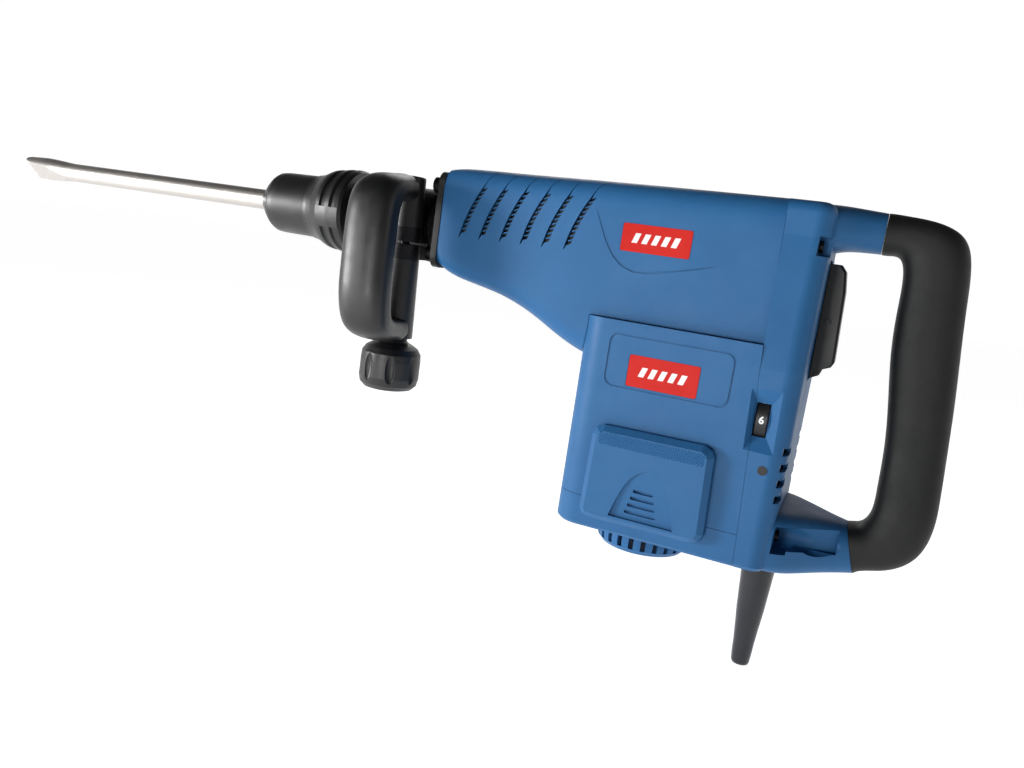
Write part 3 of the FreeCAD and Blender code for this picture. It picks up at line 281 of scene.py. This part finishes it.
def dashes(name, centre, side):
    # a row of slanted dashes standing just proud of a label plate
    points = []
    faces = []
    x0, y, z0 = centre
    half_x = DASH_WIDTH / 2
    half_z = DASH_HEIGHT / 2
    corners = ((-half_x, -half_z), (half_x, -half_z), (half_x, half_z), (-half_x, half_z))
    for index in range(DASH_COUNT):
        x = x0 + (index - (DASH_COUNT - 1) / 2) * DASH_PITCH
        for lift in (0.0, DASH_LIFT):
            for dx, dz in corners:
                points.append((x + dx + DASH_SLANT * dz, side * (y + lift), z0 + dz))
        k = index * 8
        block = [(k + 4, k + 5, k + 6, k + 7), (k, k + 3, k + 2, k + 1)]
        block += [(k + a, k + (a + 1) % 4, k + 4 + (a + 1) % 4, k + 4 + a) for a in range(4)]
        faces += block if side < 0 else [tuple(reversed(face)) for face in block]
    piece(name, points, faces, white, "body")


for side, word in SIDES:
    dashes("upper_label_dashes_" + word, UPPER_LABEL, side)
    dashes("lower_label_dashes_" + word, LOWER_LABEL, side)


KNURL_HALF = 0.00115
KNURL_HEIGHT = 0.00055
KNURL_ROWS = 8
KNURL_START_X = 0.3665
KNURL_END_X = 0.4435
KNURL_TOP_Z = -0.1314
COVER_FACE_Y = 0.06519


def knurl(name, side):
    # diamond points pressed into the finger edge of a brush cover
    points = []
    faces = []
    half = KNURL_HALF
    for row in range(KNURL_ROWS):
        z = KNURL_TOP_Z - row * half
        x = KNURL_START_X + (half if row % 2 else 0.0)
        while x < KNURL_END_X:
            k = len(points)
            for dx, dz in ((-half, 0), (0, -half), (half, 0), (0, half)):
                points.append((x + dx, side * COVER_FACE_Y, z + dz))
            points.append((x, side * (COVER_FACE_Y + KNURL_HEIGHT), z))
            ring = [(k, k + 1, k + 4), (k + 1, k + 2, k + 4), (k + 2, k + 3, k + 4), (k + 3, k, k + 4),
                    (k, k + 3, k + 2, k + 1)]
            faces += ring if side < 0 else [tuple(reversed(face)) for face in ring]
            x += 2 * half
    piece(name, points, faces, blue, "body")


for side, word in SIDES:
    knurl("brush_cover_knurl_" + word, side)


DIAL_SETTINGS = 6
DIAL_STEP_DEG = 42.0
FIGURE_SIZE = 0.0072
FIGURE_THICKNESS = 0.00006
FIGURE_WEIGHT = 0.00022
FIGURE_LIFT = 0.00002


def figure_mesh(value):
    curve = bpy.data.curves.new("figure", "FONT")
    curve.body = str(value)
    curve.size = FIGURE_SIZE
    curve.extrude = FIGURE_THICKNESS
    curve.offset = FIGURE_WEIGHT
    curve.align_x = "CENTER"
    curve.align_y = "CENTER"
    curve.resolution_u = 6
    text = bpy.data.objects.new("figure", curve)
    bpy.context.scene.collection.objects.link(text)
    mesh = bpy.data.meshes.new_from_object(text.evaluated_get(bpy.context.evaluated_depsgraph_get()))
    bpy.data.objects.remove(text)
    bpy.data.curves.remove(curve)
    return mesh


def dial_figures():
    # figures 1 to 6 round the rim of the speed dial, the last one facing the user at rest
    low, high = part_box("speed_dial")
    radius = (high[2] - low[2]) / 2
    middle = Vector(((low[0] + high[0]) / 2, (low[1] + high[1]) / 2, (low[2] + high[2]) / 2))
    stand = Matrix(((1, 0, 0, 0), (0, 0, -1, -(radius + FIGURE_LIFT)), (0, 1, 0, 0), (0, 0, 0, 1)))
    points = []
    faces = []
    for value in range(1, DIAL_SETTINGS + 1):
        mesh = figure_mesh(value)
        turn = Matrix.Rotation(math.radians(-DIAL_STEP_DEG * (DIAL_SETTINGS - value)), 4, "X")
        start = len(points)
        for vertex in mesh.vertices:
            points.append(middle + (turn @ stand @ vertex.co))
        for polygon in mesh.polygons:
            faces.append(tuple(start + index for index in polygon.vertices))
        bpy.data.meshes.remove(mesh)
    piece("dial_figures", points, faces, white, "dial")


dial_figures()


MARK_START_X = 0.0868
MARK_LENGTH = 0.0102
MARK_HALF_SPREAD = 0.0042
MARK_Z = -0.0075
MARK_STEPS = 8
# across a stroke: offset in Z and height over the ring
MARK_SECTION = ((-0.0006, -0.0004), (-0.0003, 0.0004), (0.0003, 0.0004), (0.0006, -0.0004))
RING_RADIUS = 0.0354
RING_RADIUS_X = 0.088
RING_TAPER = 0.11


def ring_mark(name, side):
    # raised V mark on the setting ring: two strokes that meet at their rear ends
    points = []
    faces = []
    for foot in (-MARK_HALF_SPREAD, MARK_HALF_SPREAD):
        start = len(points)
        for step in range(MARK_STEPS + 1):
            part = step / MARK_STEPS
            x = MARK_START_X + MARK_LENGTH * part
            z = MARK_Z + foot * (1 - part)
            radius = RING_RADIUS + (x - RING_RADIUS_X) * RING_TAPER
            for dz, lift in MARK_SECTION:
                reach = radius + lift
                points.append((x, side * math.sqrt(reach * reach - (z + dz) ** 2), z + dz))
        for step in range(MARK_STEPS):
            for lane in range(len(MARK_SECTION) - 1):
                a = start + 4 * step + lane
                face = (a, a + 4, a + 5, a + 1)
                faces.append(face if side > 0 else tuple(reversed(face)))
    piece(name, points, faces, black, "holder")


for side, word in SIDES:
    ring_mark("ring_mark_" + word, side)


# ------------------------------------------------------------------ stage, light and camera

FLOOR_HALF = 9
FLOOR_GAP = 0.001
FLOOR_GLOW = 0.85
WORLD_STRENGTH = 1.02


def floor():
    level = cad_box[0].z - FLOOR_GAP
    half = FLOOR_HALF
    mesh = bpy.data.meshes.new("floor")
    corners = [(-half, -half, level), (half, -half, level), (half, half, level), (-half, half, level)]
    mesh.from_pydata(corners, [], [(0, 1, 2, 3)])
    thing = bpy.data.objects.new("floor", mesh)
    bpy.context.scene.collection.objects.link(thing)
    mat, _, shader = new_material("pale_floor")
    shader.inputs["Base Color"].default_value = (0.86, 0.86, 0.86, 1)
    shader.inputs["Roughness"].default_value = 0.9
    shader.inputs["Specular IOR Level"].default_value = 0.1
    shader.inputs["Emission Color"].default_value = (1, 1, 1, 1)
    shader.inputs["Emission Strength"].default_value = FLOOR_GLOW
    mesh.materials.append(mat)


def studio_world():
    # light from below the horizon and from behind, fading upwards and towards the viewer
    world = bpy.data.worlds.new("studio")
    world.use_nodes = True
    tree = world.node_tree
    background = tree.nodes["Background"]
    coords = add(tree, "ShaderNodeTexCoord")
    parts = add(tree, "ShaderNodeSeparateXYZ")
    tree.links.new(coords.outputs["Generated"], parts.inputs[0])
    upward = span(tree, parts.outputs["Z"], 0.30, 0.55, 1.0, 0.06)
    behind = span(tree, parts.outputs["Y"], -0.35, 0.12, 0.10, 1.0)
    strength = product(tree, upward, behind)
    tree.links.new(product(tree, strength, WORLD_STRENGTH), background.inputs[1])
    background.inputs[0].default_value = (1.0, 1.0, 1.0, 1)
    bpy.context.scene.world = world


def lamp(name, spot, target, size, power):
    data = bpy.data.lights.new(name, "AREA")
    data.shape = "DISK"
    data.size = size
    data.energy = power
    thing = bpy.data.objects.new(name, data)
    bpy.context.scene.collection.objects.link(thing)
    thing.location = spot
    thing.rotation_mode = "QUATERNION"
    thing.rotation_quaternion = (Vector(target) - Vector(spot)).to_track_quat("-Z", "Y")


SENSOR_WIDTH = 36.0
IMAGE_WIDTH = 1024.0
FOCAL_PIXELS = 850.0
CAMERA_SPOT = (0.5312, -0.6489, -0.0072)
CAMERA_RIGHT = (0.90753, 0.39540, 0.14161)
CAMERA_AHEAD = (-0.37284, 0.91369, -0.16177)


def camera():
    data = bpy.data.cameras.new("camera")
    data.sensor_width = SENSOR_WIDTH
    data.lens = FOCAL_PIXELS / IMAGE_WIDTH * SENSOR_WIDTH
    data.clip_start = 0.01
    data.clip_end = 50
    thing = bpy.data.objects.new("camera", data)
    bpy.context.scene.collection.objects.link(thing)
    right = Vector(CAMERA_RIGHT).normalized()
    ahead = Vector(CAMERA_AHEAD).normalized()
    up = right.cross(ahead).normalized()
    right = ahead.cross(up).normalized()
    turn = Matrix((
        (right.x, up.x, -ahead.x), (right.y, up.y, -ahead.y), (right.z, up.z, -ahead.z)))
    thing.rotation_mode = "QUATERNION"
    thing.rotation_quaternion = turn.to_quaternion()
    thing.location = CAMERA_SPOT
    bpy.context.scene.camera = thing


floor()
studio_world()
lamp("key", (-0.95, -0.85, -0.02), (0.3, 0, -0.06), 0.40, 19)
lamp("low", (0.15, -1.30, -0.20), (0.34, 0, -0.12), 0.30, 5)
lamp("rim", (-0.3, 1.3, 0.9), (0.3, 0, 0), 0.8, 5)
camera()
bpy.context.scene.view_settings.view_transform = "Standard"
